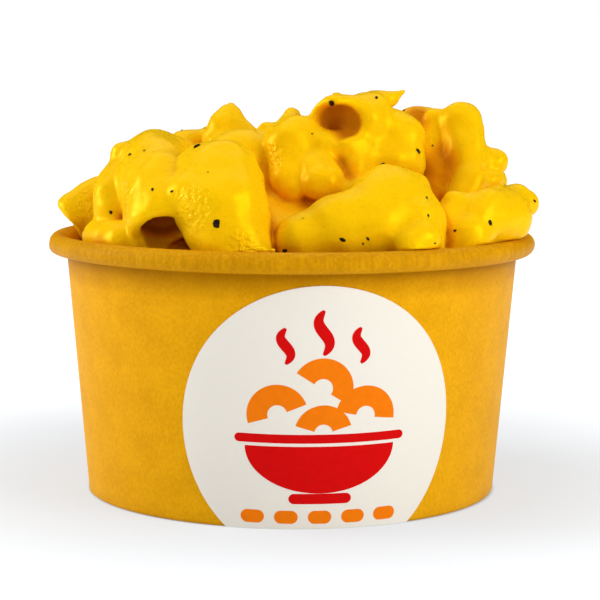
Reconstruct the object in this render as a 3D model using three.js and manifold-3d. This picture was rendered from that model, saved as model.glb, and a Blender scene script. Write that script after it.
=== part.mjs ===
// Mac and cheese heaped in a round kraft paper tub. Millimetres, +Z up.
// The origin is the middle of the tub's foot, and the side with the label faces -Y.
import * as THREE from 'three';
import { mergeVertices } from 'three/addons/utils/BufferGeometryUtils.js';
import Module from 'manifold-3d';

const wasm = await Module();
wasm.setup();

// Tub: a tapered paper wall with a rolled rim, and a base disc held in its folded foot
const TUB_HEIGHT = 50;
const RIM_RADIUS = 47;
const ROLL_RADIUS = 1.9;
const PAPER = 0.5;
const FOOT_RADIUS = 39.5;
const FOLD_RADIUS = 0.65;
const HEM_TOP = 5.5;
const BASE_HEIGHT = 6;
const FLANGE_BOTTOM = 1.4;
const ROLL_END_ANGLE = -120;
const AROUND = 48;

// Label: a round sticker on the wall, cut flush with the foot
const LABEL_RADIUS = 25.4;
const LABEL_CENTRE_UP = 18.8;
const LABEL_CENTRE_RIGHT = 5.3;
const LABEL_THICKNESS = 0.25;
const LABEL_GAP = 0.15;
const LABEL_COLUMNS = 32;
const LABEL_ROWS = 4;

// Macaroni: a packed core, domed at the top, with the pieces that show fused on
const CORE_EDGE_HEIGHT = 46;
const CORE_DOME = 19;
const CORE_DOME_RADIUS = 42;
const HEAP_CLEARANCE = 0.3;
const NOODLE_SIDES = 8;
const NOODLE_STEP = 6;
const BORE_DEPTH = 10;

// The pieces seen from the front, each a bent tube from one end over its middle to the other.
// round is how far its ends are rounded, and bore is the radius of an open end at from.
const FRONT_PIECES = [
  { from: [-23.5, -33.5, 51.5], over: [-26, -25, 59.5], to: [-28, -11, 62.5], radius: 6.3, bore: 4.3 },
  { from: [-10.5, -35, 46.5], over: [-14.5, -28.5, 60], to: [-16, -14, 59], radius: 7.3 },
  { from: [-10.5, -33, 46.5], over: [-11.5, -27, 59.5], to: [-8, -14, 57], radius: 6.8 },
  { from: [1, -34, 49.5], over: [9.5, -33, 53], to: [17, -31, 56.5], radius: 6.5, round: 4 },
  { from: [17.5, -27, 63], over: [20, -29, 55.5], to: [21.5, -30, 46.5], radius: 6.6, round: 5 },
  { from: [-2, -33, 52], over: [3, -33, 53], to: [8.5, -32, 54.5], radius: 4.6, round: 4 },
  { from: [1.5, -25, 57], over: [-0.5, -18, 66.5], to: [-2, -6, 61], radius: 5.5 },
  { from: [2.5, -24, 61], over: [4.5, -26, 61], to: [8.5, -27, 61.5], radius: 3.9, round: 3.4 },
  { from: [-5, -12, 71.5], over: [-4, -14, 69.5], to: [-1.5, -16, 66.5], radius: 2.6, round: 2.4 },
  { from: [7.5, -18, 71.5], over: [12, -12, 71.5], to: [18, -7, 71], radius: 5.5, bore: 4.2 },
  { from: [18.5, -8, 74.5], over: [20, -9, 69], to: [20.5, -12, 62], radius: 5.2, round: 4 },
  { from: [10, -10, 64.5], over: [15, -9, 63.5], to: [20, -12, 59], radius: 5.4 },
  { from: [1, -14, 70.5], over: [6, -14, 67.5], to: [11, -12, 66.5], radius: 3, round: 2.8 },
  { from: [29, -26, 53.5], over: [36, -20, 54], to: [43, -11, 54], radius: 5.7, round: 3 },
  { from: [30.5, -22, 55], over: [30.5, -24, 52], to: [31.5, -26, 46.5], radius: 5 },
  { from: [34.5, -4, 64], over: [38, -3, 63.5], to: [41, -2, 63], radius: 3.3, round: 3 },
  { from: [35, -6, 61], over: [38.5, -5, 60.5], to: [40.5, -4, 60.5], radius: 2.5, round: 2.4 },
  { from: [30.5, -5, 58], over: [31, 1, 70], to: [28, 12, 60], radius: 5 },
  { from: [32.5, -2, 73], over: [33, -4, 66], to: [32.5, -8, 57.5], radius: 3.3, round: 3 },
  { from: [29, 4, 65.5], over: [29.5, 2, 61], to: [30.5, -4, 55.5], radius: 4.6 },
  { from: [20.5, 9, 65], over: [25.5, 12, 70], to: [31, 13, 62], radius: 4 },
  { from: [-31, -17, 50], over: [-31.5, -13, 60], to: [-29, -5, 57], radius: 4.2, round: 2.5 },
  { from: [-35, -24, 54], over: [-34.5, -24, 51.5], to: [-34.5, -24, 46], radius: 4.6, round: 4 },
  { from: [-43.5, -6, 53], over: [-39, -5, 55], to: [-33, -4, 58], radius: 3.8, round: 1.5 },
  { from: [-12, 4, 75], over: [-12, 2, 69], to: [-11.5, -2, 61.5], radius: 4.2, taper: 0.55, round: 2 },
  { from: [-24, 8, 64], over: [-19.5, 8, 65], to: [-10.5, 8, 64.5], radius: 4.6 },
  { from: [-9.5, -8, 68], over: [-8.5, -10, 63.5], to: [-7, -14, 57], radius: 4, round: 3.4 },
];

// Small lumps of sauce and torn pasta on them: centre and radius
const LUMPS = [
  { at: [-0.5, -16, 73], radius: 1.8 },
  { at: [-15.5, 2, 70.5], radius: 2 },
  { at: [-21, -32, 59], radius: 2.2 },
  { at: [45, -11, 56.5], radius: 1.9 },
  { at: [43.5, -12, 57.5], radius: 2.2 },
  { at: [9.5, -13, 76.5], radius: 1.3 },
  { at: [17, -6, 76.5], radius: 2 },
  { at: [11.5, -22, 61], radius: 1.6 },
];

// The pieces behind them lie in rings round the dome: how many, how far out and how high,
// the azimuths, in degrees from +X towards +Y, of the ring's first and last piece, and the
// share of its pieces with an open end
const BACK_RINGS = [
  { count: 8, out: 34, height: 54, first: 4, last: 178, open: 0.6 },
  { count: 6, out: 22, height: 61, first: 5, last: 172, open: 0.6 },
  { count: 3, out: 8, height: 62.5, first: 30, last: 250, open: 0.6 },
  { count: 4, out: 22, height: 56, first: 205, last: 335, open: 0 },
];
const BACK_HALF_LENGTH = 10;
const BACK_RISE = 6;
const BACK_RADIUS = 5.7;
const BACK_BORE = 3.9;

// The larger flecks of pepper seen from the front: where the line of sight from EYE crosses the
// plane through the tub's axis, as X and Z, and the fleck's length
const EYE = [0, -393, 82.6];
const FRONT_FLECKS = [
  { x: -18.5, z: 66.3, size: 1.5 },
  { x: -31.7, z: 64.8, size: 0.9 },
  { x: -23.2, z: 57.3, size: 0.8 },
  { x: -27.3, z: 57.7, size: 0.8 },
  { x: -15, z: 51.1, size: 1.7 },
  { x: -35.1, z: 53.4, size: 0.8 },
  { x: 10, z: 48.5, size: 1.2 },
  { x: 14.9, z: 48.5, size: 0.9 },
  { x: 17.6, z: 62.7, size: 1.7 },
  { x: 7.4, z: 74.7, size: 1.5 },
  { x: 16.1, z: 75.5, size: 1 },
  { x: 24.4, z: 65.9, size: 1.3 },
  { x: 26.2, z: 53.1, size: 0.8 },
  { x: 38.3, z: 51.9, size: 1.2 },
];
// The flecks on the rest of the heap lie along a spiral, seen from above
const TOP_FLECKS = 16;
const TOP_FLECK_SIZE = 1;
const TOP_FLECK_REACH = 38;
const GOLDEN_ANGLE = Math.PI * (3 - Math.sqrt(5));

const unit = (v) => v.clone().normalize();
const toVector = (p) => new THREE.Vector3(...p);

// A number from 0 to 1 that is always the same for the same piece and use
function draw(piece, use) {
  const wave = Math.sin(piece * 12.9898 + use * 78.233) * 43758.5453;
  return wave - Math.floor(wave);
}

// One closed set of triangles from a geometry: shared points merged, slivers gone, faces out
function closed(geometry) {
  const bare = geometry.index ? geometry : mergeVertices(geometry);
  bare.deleteAttribute('normal');
  bare.deleteAttribute('uv');
  const merged = mergeVertices(bare, 1e-4);
  const corners = merged.index.array;
  const points = merged.attributes.position;
  const [a, b, c] = [new THREE.Vector3(), new THREE.Vector3(), new THREE.Vector3()];
  const kept = [];
  let volume = 0;
  for (let i = 0; i < corners.length; i += 3) {
    const [p, q, r] = corners.slice(i, i + 3);
    if (p === q || q === r || r === p) continue;
    kept.push(p, q, r);
    a.fromBufferAttribute(points, p);
    b.fromBufferAttribute(points, q);
    c.fromBufferAttribute(points, r);
    volume += a.dot(b.cross(c)) / 6;
  }
  if (volume < 0) kept.reverse();
  merged.setIndex(kept);
  return merged;
}

// A profile of [radius, height] points, turned round the Z axis
function turned(profile, segments = AROUND) {
  const points = profile.map(([r, z]) => new THREE.Vector2(r, z));
  return closed(new THREE.LatheGeometry(points, segments).rotateX(Math.PI / 2));
}

// The outline of a paper sheet of even thickness, from the middle line of its section
function sheetOutline(line) {
  const side = (sign) => line.map(([r, z], i) => {
    const [r0, z0] = line[Math.max(i - 1, 0)];
    const [r1, z1] = line[Math.min(i + 1, line.length - 1)];
    const length = Math.hypot(r1 - r0, z1 - z0);
    const across = [-(z1 - z0) / length, (r1 - r0) / length];
    return [Math.max(r + sign * across[0] * PAPER / 2, 0), z + sign * across[1] * PAPER / 2];
  });
  return [...side(1), ...side(-1).reverse()];
}

// Points on an arc, with its angles in degrees from +R towards +Z
function arc(r, z, radius, start, end, steps) {
  return Array.from({ length: steps + 1 }, (_, i) => {
    const angle = THREE.MathUtils.degToRad(start + (end - start) * i / steps);
    return [r + radius * Math.cos(angle), z + radius * Math.sin(angle)];
  });
}

const ROLL_CENTRE = [RIM_RADIUS - ROLL_RADIUS, TUB_HEIGHT - ROLL_RADIUS];
const ROLL_LINE_RADIUS = ROLL_RADIUS - PAPER / 2;
// The foot's fold is pressed flat underneath, between 30 degrees each side of straight down
const FOLD_HEIGHT = (FOLD_RADIUS + PAPER / 2) * Math.cos(Math.PI / 6);
const WALL_BOTTOM_LINE = FOOT_RADIUS - PAPER / 2;
const WALL_TAPER = (ROLL_CENTRE[0] - ROLL_LINE_RADIUS - WALL_BOTTOM_LINE) / ROLL_CENTRE[1];
const wallLine = (z) => WALL_BOTTOM_LINE + WALL_TAPER * z;

function tubWall() {
  const foldCentre = wallLine(FOLD_HEIGHT) - FOLD_RADIUS;
  const line = [
    [wallLine(HEM_TOP) - 2 * FOLD_RADIUS, HEM_TOP],
    ...arc(foldCentre, FOLD_HEIGHT, FOLD_RADIUS, -180, 0, 3),
    [wallLine(TUB_HEIGHT / 2), TUB_HEIGHT / 2],
    ...arc(...ROLL_CENTRE, ROLL_LINE_RADIUS, 180, ROLL_END_ANGLE, 10),
  ];
  const outline = sheetOutline(line);
  return turned([...outline, outline[0]]);
}

function tubBase() {
  const flangeLine = (z) => wallLine(z) - FOLD_RADIUS;
  const middle = BASE_HEIGHT + PAPER / 2;
  const bend = 0.7;
  return turned(sheetOutline([
    [0, middle],
    ...arc(flangeLine(BASE_HEIGHT) - bend, middle - bend, bend, 90, 0, 3),
    [flangeLine(FLANGE_BOTTOM), FLANGE_BOTTOM],
  ]));
}

// The wall is a cone, so the flat sticker wraps round it: distance and angle from the cone's
// tip on the unrolled sheet become height and azimuth on the tub
function label() {
  const slope = Math.atan(WALL_TAPER);
  const footFromTip = FOOT_RADIUS / Math.sin(slope);
  const centreFromTip = footFromTip + LABEL_CENTRE_UP;
  const lowest = footFromTip + LABEL_GAP;
  const turn = LABEL_CENTRE_RIGHT / (FOOT_RADIUS + LABEL_CENTRE_UP * Math.sin(slope));
  const place = (x, y, off) => {
    const fromTip = Math.hypot(x, y);
    const azimuth = Math.atan2(x, y) / Math.sin(slope) + turn;
    const radius = fromTip * Math.sin(slope) + off * Math.cos(slope);
    const height = (fromTip - footFromTip) * Math.cos(slope) - off * Math.sin(slope);
    return [radius * Math.sin(azimuth), -radius * Math.cos(azimuth), height];
  };
  const points = [];
  const across = LABEL_ROWS + 1;
  for (const off of [LABEL_GAP, LABEL_GAP + LABEL_THICKNESS]) {
    for (let i = 0; i <= LABEL_COLUMNS; i++) {
      const x = LABEL_RADIUS * Math.sin(Math.PI * (i / LABEL_COLUMNS - 0.5));
      const half = Math.sqrt(Math.max(LABEL_RADIUS ** 2 - x * x, 0));
      const top = centreFromTip + half;
      const bottom = Math.min(top, Math.max(centreFromTip - half, Math.sqrt(lowest ** 2 - x * x)));
      for (let j = 0; j < across; j++) points.push(...place(x, bottom + (top - bottom) * j / LABEL_ROWS, off));
    }
  }
  const layer = (LABEL_COLUMNS + 1) * across;
  const at = (i, j, k) => k * layer + i * across + j;
  const faces = [];
  const quad = (a, b, c, d) => faces.push(a, b, c, a, c, d);
  for (let i = 0; i < LABEL_COLUMNS; i++) {
    for (let j = 0; j < LABEL_ROWS; j++) {
      quad(at(i, j, 1), at(i + 1, j, 1), at(i + 1, j + 1, 1), at(i, j + 1, 1));
      quad(at(i, j, 0), at(i, j + 1, 0), at(i + 1, j + 1, 0), at(i + 1, j, 0));
    }
    quad(at(i, 0, 0), at(i + 1, 0, 0), at(i + 1, 0, 1), at(i, 0, 1));
    quad(at(i, LABEL_ROWS, 0), at(i, LABEL_ROWS, 1), at(i + 1, LABEL_ROWS, 1), at(i + 1, LABEL_ROWS, 0));
  }
  for (const [i, flip] of [[0, false], [LABEL_COLUMNS, true]]) {
    for (let j = 0; j < LABEL_ROWS; j++) {
      const side = [at(i, j, 0), at(i, j, 1), at(i, j + 1, 1), at(i, j + 1, 0)];
      quad(...(flip ? side.reverse() : side));
    }
  }
  const geometry = new THREE.BufferGeometry();
  geometry.setAttribute('position', new THREE.Float32BufferAttribute(points, 3));
  geometry.setIndex(faces);
  return closed(geometry);
}

// The circle through a noodle's two ends and its middle
function bendOf(from, over, to) {
  const [a, m, b] = [from, over, to].map(toVector);
  const chord = b.clone().sub(a);
  const along = unit(chord);
  const rise = m.clone().sub(a).addScaledVector(along, -m.clone().sub(a).dot(along));
  const least = 0.02 * chord.length();
  if (rise.length() < least) rise.set(0, 0, 1).addScaledVector(along, -along.z).setLength(least);
  const sag = rise.length();
  const out = unit(rise);
  const radius = (chord.lengthSq() / 4 + sag * sag) / (2 * sag);
  const centre = a.clone().add(b).multiplyScalar(0.5).addScaledVector(out, sag - radius);
  const shallow = Math.asin(Math.min(1, chord.length() / 2 / radius));
  const half = sag <= radius ? shallow : Math.PI - shallow;
  return { centre, out, along, across: out.clone().cross(along), radius, half };
}

// A macaroni elbow: a tube with rounded ends, blind bored at its first end where that is open,
// turned as a straight lathe shape and then bent along its circle
function elbow({ from, over, to, radius, round = 2.2, bore = 0, taper = 0 }) {
  const bend = bendOf(from, over, to);
  const length = 2 * bend.half * bend.radius;
  const soft = Math.min(round, radius, length / 2);
  const steps = Math.max(1, Math.round((length - 2 * soft) / NOODLE_STEP));
  const lip = bore ? 0.8 : soft;
  const corner = (size, y, first, last) => arc(radius - size, y, size, first, last, size > 3 ? 3 : 2);
  const profile = bore
    ? [[0, BORE_DEPTH], [bore, BORE_DEPTH - 1], [bore, 0.5], [bore + 0.4, 0]]
    : [[0, 0]];
  profile.push(...corner(lip, lip, -90, 0));
  for (let i = 1; i < steps; i++) profile.push([radius, lip + (length - lip - soft) * i / steps]);
  profile.push(...corner(soft, length - soft, 0, 90), [0, length]);
  const shape = new THREE.LatheGeometry(profile.map(([r, y]) => new THREE.Vector2(r, y)), NOODLE_SIDES);
  const points = shape.attributes.position;
  for (let i = 0; i < points.count; i++) {
    const along = points.getY(i) / length;
    const scale = 1 + taper * (2 * along - 1);
    const angle = bend.half * (2 * along - 1);
    const outward = bend.out.clone().multiplyScalar(Math.cos(angle)).addScaledVector(bend.along, Math.sin(angle));
    const point = bend.centre.clone().addScaledVector(outward, bend.radius + points.getX(i) * scale);
    point.addScaledVector(bend.across, points.getZ(i) * scale);
    points.setXYZ(i, point.x, point.y, point.z);
  }
  return closed(shape);
}

function lump({ at, radius }) {
  return closed(new THREE.IcosahedronGeometry(radius, 0).translate(...at));
}

// The ring pieces: each lies round the dome, turned, tipped and arched by its own draws
function backPieces() {
  const pieces = [];
  BACK_RINGS.forEach(({ count, out, height, first, last, open }, ring) => {
    for (let i = 0; i < count; i++) {
      const piece = ring * 10 + i;
      const angle = THREE.MathUtils.degToRad(first + (last - first) * i / (count - 1));
      const outward = new THREE.Vector3(Math.cos(angle), Math.sin(angle), 0);
      const sideways = new THREE.Vector3(-Math.sin(angle), Math.cos(angle), 0);
      const turn = (draw(piece, 1) - 0.5) * 2.2;
      const tip = (draw(piece, 2) - 0.5) * 1;
      const lean = (draw(piece, 3) - 0.3) * 1.2;
      const along = sideways.clone().multiplyScalar(Math.cos(turn)).addScaledVector(outward, Math.sin(turn));
      along.multiplyScalar(Math.cos(tip)).setZ(Math.sin(tip));
      const rise = new THREE.Vector3(0, 0, 1).applyAxisAngle(unit(along), lean);
      rise.addScaledVector(along, -rise.dot(along)).normalize();
      const middle = outward.clone().multiplyScalar(out).setZ(height);
      const reach = BACK_HALF_LENGTH * (0.85 + 0.3 * draw(piece, 4));
      const end = (sign) => middle.clone().addScaledVector(along, sign * reach).addScaledVector(rise, -BACK_RISE);
      pieces.push({
        from: end(-1).toArray(),
        over: middle.toArray(),
        to: end(1).toArray(),
        radius: BACK_RADIUS * (0.9 + 0.2 * draw(piece, 5)),
        bore: draw(piece, 6) < open ? BACK_BORE : 0,
      });
    }
  });
  return pieces;
}

const solid = (geometry) => new wasm.Manifold(new wasm.Mesh({
  numProp: 3,
  vertProperties: geometry.attributes.position.array,
  triVerts: new Uint32Array(geometry.index.array),
}));

// All that is outside the tub's inside: its wall, rolled rim and base, and what lies beyond
function outsideOfTub() {
  const beyond = RIM_RADIUS + 20;
  const inner = (z) => wallLine(z) - PAPER / 2 - HEAP_CLEARANCE;
  const floor = BASE_HEIGHT + PAPER + HEAP_CLEARANCE;
  return solid(turned([
    [0, -5],
    [beyond, -5],
    [beyond, ROLL_CENTRE[1]],
    ...arc(...ROLL_CENTRE, ROLL_RADIUS + HEAP_CLEARANCE, 0, 180, 8),
    [inner(floor), floor],
    [0, floor],
  ]));
}

function core() {
  const top = [];
  for (let i = 0; i <= 8; i++) {
    const r = CORE_DOME_RADIUS * (1 - i / 8);
    top.push([r, CORE_EDGE_HEIGHT + CORE_DOME * (1 - (r / CORE_DOME_RADIUS) ** 2)]);
  }
  return solid(turned([[0, 0], [RIM_RADIUS - 3, 0], [RIM_RADIUS - 3, CORE_EDGE_HEIGHT - 3], ...top], 32));
}

function fromSolid(manifold) {
  const mesh = manifold.getMesh();
  const geometry = new THREE.BufferGeometry();
  geometry.setAttribute('position', new THREE.Float32BufferAttribute(mesh.vertProperties, 3));
  geometry.setIndex(Array.from(mesh.triVerts));
  return geometry;
}

// A fleck: a flat eight-sided crystal sunk to its waist where a line of sight meets the heap
function fleck(target, eye, through, size) {
  const sight = new THREE.Raycaster(eye, unit(through.clone().sub(eye)));
  const [hit] = sight.intersectObject(target);
  const facing = new THREE.Quaternion().setFromUnitVectors(new THREE.Vector3(0, 0, 1), hit.face.normal);
  const crystal = new THREE.OctahedronGeometry(size / 2).scale(1, 0.7, 0.6).applyQuaternion(facing);
  return closed(crystal.translate(...hit.point));
}

function flecks(heap) {
  const target = new THREE.Mesh(fromSolid(heap), new THREE.MeshBasicMaterial({ side: THREE.DoubleSide }));
  const front = FRONT_FLECKS.map(({ x, z, size }) => (
    fleck(target, toVector(EYE), new THREE.Vector3(x, 0, z), size)
  ));
  const top = Array.from({ length: TOP_FLECKS }, (_, i) => {
    const out = TOP_FLECK_REACH * Math.sqrt((i + 0.5) / TOP_FLECKS);
    const through = new THREE.Vector3(out * Math.cos(i * GOLDEN_ANGLE), out * Math.sin(i * GOLDEN_ANGLE), 0);
    return fleck(target, through.clone().setZ(2 * TUB_HEIGHT), through, TOP_FLECK_SIZE);
  });
  return [...front, ...top];
}

function macaroniHeap() {
  const pieces = [...FRONT_PIECES, ...backPieces()].map((piece) => solid(elbow(piece)));
  const lumps = LUMPS.map((piece) => solid(lump(piece)));
  const joined = wasm.Manifold.union([core(), ...pieces, ...lumps]).subtract(outsideOfTub());
  const heap = joined.decompose().reduce((a, b) => (a.volume() > b.volume() ? a : b));
  const peppered = wasm.Manifold.union([heap, ...flecks(heap).map(solid)]);
  return fromSolid(peppered);
}

const kraftOutside = new THREE.MeshStandardMaterial({ color: '#d9a036', roughness: 0.75, metalness: 0 });
const kraftBase = new THREE.MeshStandardMaterial({ color: '#c99434', roughness: 0.8, metalness: 0 });
const whiteLabel = new THREE.MeshStandardMaterial({ color: '#f4eedf', roughness: 0.45, metalness: 0 });
const cheesePasta = new THREE.MeshStandardMaterial({ color: '#f5b800', roughness: 0.3, metalness: 0 });

function piece(name, geometry, material) {
  const mesh = new THREE.Mesh(geometry, material);
  mesh.name = name;
  return mesh;
}

const group = new THREE.Group();
group.add(piece('tub_wall', tubWall(), kraftOutside));
group.add(piece('tub_base', tubBase(), kraftBase));
group.add(piece('label', label(), whiteLabel));
group.add(piece('macaroni_heap', macaroniHeap(), cheesePasta));

export default group;
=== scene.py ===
# Mac and cheese heaped in a round kraft paper tub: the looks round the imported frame.
# Lengths are in millimetres until put_mesh takes them to metres. The tub's axis is Z, the label
# faces -Y, and azimuths run from -Y towards +X.
from math import radians

import bpy
import numpy as np
from mathutils import Matrix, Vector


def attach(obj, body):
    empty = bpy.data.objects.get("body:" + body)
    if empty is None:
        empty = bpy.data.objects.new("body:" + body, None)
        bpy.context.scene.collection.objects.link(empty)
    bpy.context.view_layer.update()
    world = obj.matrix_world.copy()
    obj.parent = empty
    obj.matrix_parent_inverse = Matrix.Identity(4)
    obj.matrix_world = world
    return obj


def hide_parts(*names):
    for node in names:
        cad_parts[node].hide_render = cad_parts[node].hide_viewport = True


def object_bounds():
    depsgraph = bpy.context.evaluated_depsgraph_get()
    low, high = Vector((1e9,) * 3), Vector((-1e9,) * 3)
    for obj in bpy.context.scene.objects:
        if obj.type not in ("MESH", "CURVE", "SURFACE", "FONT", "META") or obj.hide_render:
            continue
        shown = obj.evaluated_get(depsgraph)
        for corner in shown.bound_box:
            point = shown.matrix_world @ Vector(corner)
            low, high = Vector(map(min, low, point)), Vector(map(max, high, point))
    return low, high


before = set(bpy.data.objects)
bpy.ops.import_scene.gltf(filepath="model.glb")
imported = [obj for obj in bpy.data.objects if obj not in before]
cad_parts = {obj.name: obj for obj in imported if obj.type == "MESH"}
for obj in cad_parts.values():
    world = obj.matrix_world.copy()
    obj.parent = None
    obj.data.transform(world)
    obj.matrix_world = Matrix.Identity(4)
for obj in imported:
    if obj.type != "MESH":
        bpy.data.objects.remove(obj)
cad_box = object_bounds()
MM = 0.001

# Tub
TUB_HEIGHT = 50.0
RIM_RADIUS = 47.0
ROLL_RADIUS = 1.9
PAPER = 0.5
FOOT_RADIUS = 39.5
FOLD_RADIUS = 0.65
HEM_TOP = 5.5
BASE_HEIGHT = 6.0
ROLL_END_ANGLE = -120.0
ROLL_CENTRE = (RIM_RADIUS - ROLL_RADIUS, TUB_HEIGHT - ROLL_RADIUS)
ROLL_LINE_RADIUS = ROLL_RADIUS - PAPER / 2
FOLD_HEIGHT = (FOLD_RADIUS + PAPER / 2) * np.cos(radians(30))
WALL_BOTTOM_LINE = FOOT_RADIUS - PAPER / 2
WALL_TAPER = (ROLL_CENTRE[0] - ROLL_LINE_RADIUS - WALL_BOTTOM_LINE) / ROLL_CENTRE[1]
SEAM_AZIMUTH = -77.0
SEAM_STEP = 0.45
SEAM_FADE = 40.0
TUB_SEGMENTS = 360

# Label
LABEL_RADIUS = 25.4
LABEL_CENTRE_UP = 18.8
LABEL_CENTRE_RIGHT = 5.3
LABEL_BACK = 0.03
LABEL_FACE = 0.2
PRINT_BACK = 0.19
PRINT_FACE = 0.23

# Macaroni
CORE_EDGE_HEIGHT = 46.0
CORE_DOME = 19.0
CORE_DOME_RADIUS = 42.0
CORE_DOME_BACK = 5.0
HEAP_CLEARANCE = 0.12
HEAP_FLOOR = BASE_HEIGHT + PAPER + 0.3
CORE_SLOPE = 0.85
END_ROUND = 2.8
BORE_DEPTH = 10.0
BORE_CLEAR = 3
BORE_LIP = 1.2
BORE_FLOOR_ROUND = 1.5
LUMP_FILLET = 3.0
BEAD_FILLET = 1.0
RIM_FILLET = 0.5
FIELD_STEP = 0.58
FIELD_MARGIN = 4
FIELD_LOW = (-50.0, -50.0, 41.0)
FIELD_HIGH = (50.0, 50.0, 80.0)
SAUCE_FILLET = 1.8
HEAP_TOP = cad_box[1][2] / MM - 0.05
HEAP_REACH = RIM_RADIUS - 0.1


# Shapes

def put_mesh(name, points, faces, material, smooth=True):
    """A mesh object at the origin, from points in millimetres and arrays of three or four corners."""
    mesh = bpy.data.meshes.new(name)
    corners = [face for group in faces for face in group.tolist()]
    mesh.from_pydata((np.asarray(points) * MM).tolist(), [], corners)
    mesh.polygons.foreach_set("use_smooth", np.full(len(mesh.polygons), smooth))
    mesh.materials.append(material)
    mesh.update()
    piece = bpy.data.objects.new(name, mesh)
    bpy.context.scene.collection.objects.link(piece)
    return piece


def grid_faces(rows, columns, close_rows=False, close_columns=False):
    """The quads between neighbours of a grid of points, which a closed direction joins end to end."""
    i = np.arange(rows if close_rows else rows - 1)[:, None]
    j = np.arange(columns if close_columns else columns - 1)[None, :]
    after_i = (i + 1) % rows
    after_j = (j + 1) % columns
    corners = [i * columns + j, i * columns + after_j, after_i * columns + after_j, after_i * columns + j]
    return np.stack(np.broadcast_arrays(*corners), -1).reshape(-1, 4)


def faces_out(points, faces):
    """The same faces, turned round if the volume that they enclose comes out negative."""
    a, b, c = (points[faces[:, k]] for k in range(3))
    volume = np.einsum("ij,ij->", a, np.cross(b, c))
    if faces.shape[1] == 4:
        d = points[faces[:, 3]]
        volume += np.einsum("ij,ij->", a, np.cross(c, d))
    return faces if volume > 0 else faces[:, ::-1]


def arc(r, z, radius, start, end, steps):
    """Points on a circle round (r, z), from one angle to another in degrees, +R towards +Z."""
    angle = np.radians(np.linspace(start, end, steps + 1))
    return np.stack([r + radius * np.cos(angle), z + radius * np.sin(angle)], 1)


def wall_line(z):
    """Radius of the middle of the paper wall at a height."""
    return WALL_BOTTOM_LINE + WALL_TAPER * z


def sheet_outline(line):
    """A paper sheet's section: its middle line moved half the paper to each side, as one outline."""
    ahead = np.gradient(line, axis=0)
    across = np.stack([-ahead[:, 1], ahead[:, 0]], 1)
    across /= np.linalg.norm(across, axis=1, keepdims=True)
    one_side = line + across * PAPER / 2
    other_side = line - across * PAPER / 2
    return np.concatenate([one_side, other_side[::-1]])


def seam_rise(azimuth):
    """How far the paper's outer end stands proud: a step at the seam that fades along the wall."""
    past = (azimuth - radians(SEAM_AZIMUTH)) % (2 * np.pi)
    step = np.clip(past / radians(0.5), 0, 1)
    return SEAM_STEP * step * np.clip(1 - past / radians(SEAM_FADE), 0, 1)


def turned(section, rise=None):
    """A closed section of (radius, height) points turned round the axis, with a rise by azimuth."""
    azimuth = np.linspace(0, 2 * np.pi, TUB_SEGMENTS, endpoint=False)
    r = section[:, 0][None, :] + (0 if rise is None else rise(azimuth)[:, None])
    z = np.broadcast_to(np.maximum(section[:, 1], 0)[None, :], r.shape)
    points = np.stack([r * np.sin(azimuth)[:, None], -r * np.cos(azimuth)[:, None], z], -1).reshape(-1, 3)
    faces = grid_faces(TUB_SEGMENTS, len(section), close_rows=True, close_columns=True)
    return points, faces_out(points, faces)


def tub_wall_shape():
    """The wall's section: hem, folded foot, straight taper and rolled rim, as one sheet of paper."""
    fold_centre = wall_line(FOLD_HEIGHT) - FOLD_RADIUS
    heights = np.linspace(2, TUB_HEIGHT - ROLL_RADIUS - 1.5, 20)
    line = np.concatenate([
        [[wall_line(HEM_TOP) - 2 * FOLD_RADIUS, HEM_TOP]],
        arc(fold_centre, FOLD_HEIGHT, FOLD_RADIUS, -180, 0, 12),
        np.stack([wall_line(heights), heights], 1),
        arc(*ROLL_CENTRE, ROLL_LINE_RADIUS, 180, ROLL_END_ANGLE, 36),
    ])
    return turned(sheet_outline(line), seam_rise)


def on_wall(x, y, off):
    """Where a flat sticker's point lies on the tub. The wall is a cone, so distance and angle from
    the cone's tip on the unrolled sheet become height and azimuth. off is how far it stands proud."""
    slope = np.arctan(WALL_TAPER)
    foot_from_tip = FOOT_RADIUS / np.sin(slope)
    turn = LABEL_CENTRE_RIGHT / (FOOT_RADIUS + LABEL_CENTRE_UP * np.sin(slope))
    up = foot_from_tip + LABEL_CENTRE_UP + y
    from_tip = np.hypot(x, up)
    azimuth = np.arctan2(x, up) / np.sin(slope) + turn
    r = from_tip * np.sin(slope) + off * np.cos(slope)
    z = (from_tip - foot_from_tip) * np.cos(slope) - off * np.sin(slope)
    return np.stack([r * np.sin(azimuth), -r * np.cos(azimuth), np.maximum(z, 0.02)], -1)


def plate(x, y, back, face):
    """A thin closed plate on the wall: a grid of sticker points at two heights, joined at its edge."""
    rows, columns = x.shape
    points = np.concatenate([on_wall(x, y, face).reshape(-1, 3), on_wall(x, y, back).reshape(-1, 3)])
    top = grid_faces(rows, columns)
    under = top[:, ::-1] + rows * columns
    at = np.arange(rows * columns).reshape(rows, columns)
    edge = np.concatenate([at[0, :-1], at[:-1, -1], at[-1, :0:-1], at[:0:-1, 0]])
    after = np.roll(edge, -1)
    side = np.stack([after, edge, edge + rows * columns, after + rows * columns], 1)
    faces = np.concatenate([top, under, side])
    return points, faces_out(points, faces)


def joined(parts):
    """Several (points, faces) as one."""
    starts = np.cumsum([0] + [len(points) for points, _ in parts])
    points = np.concatenate([points for points, _ in parts])
    return points, np.concatenate([faces + start for (_, faces), start in zip(parts, starts)])


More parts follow.
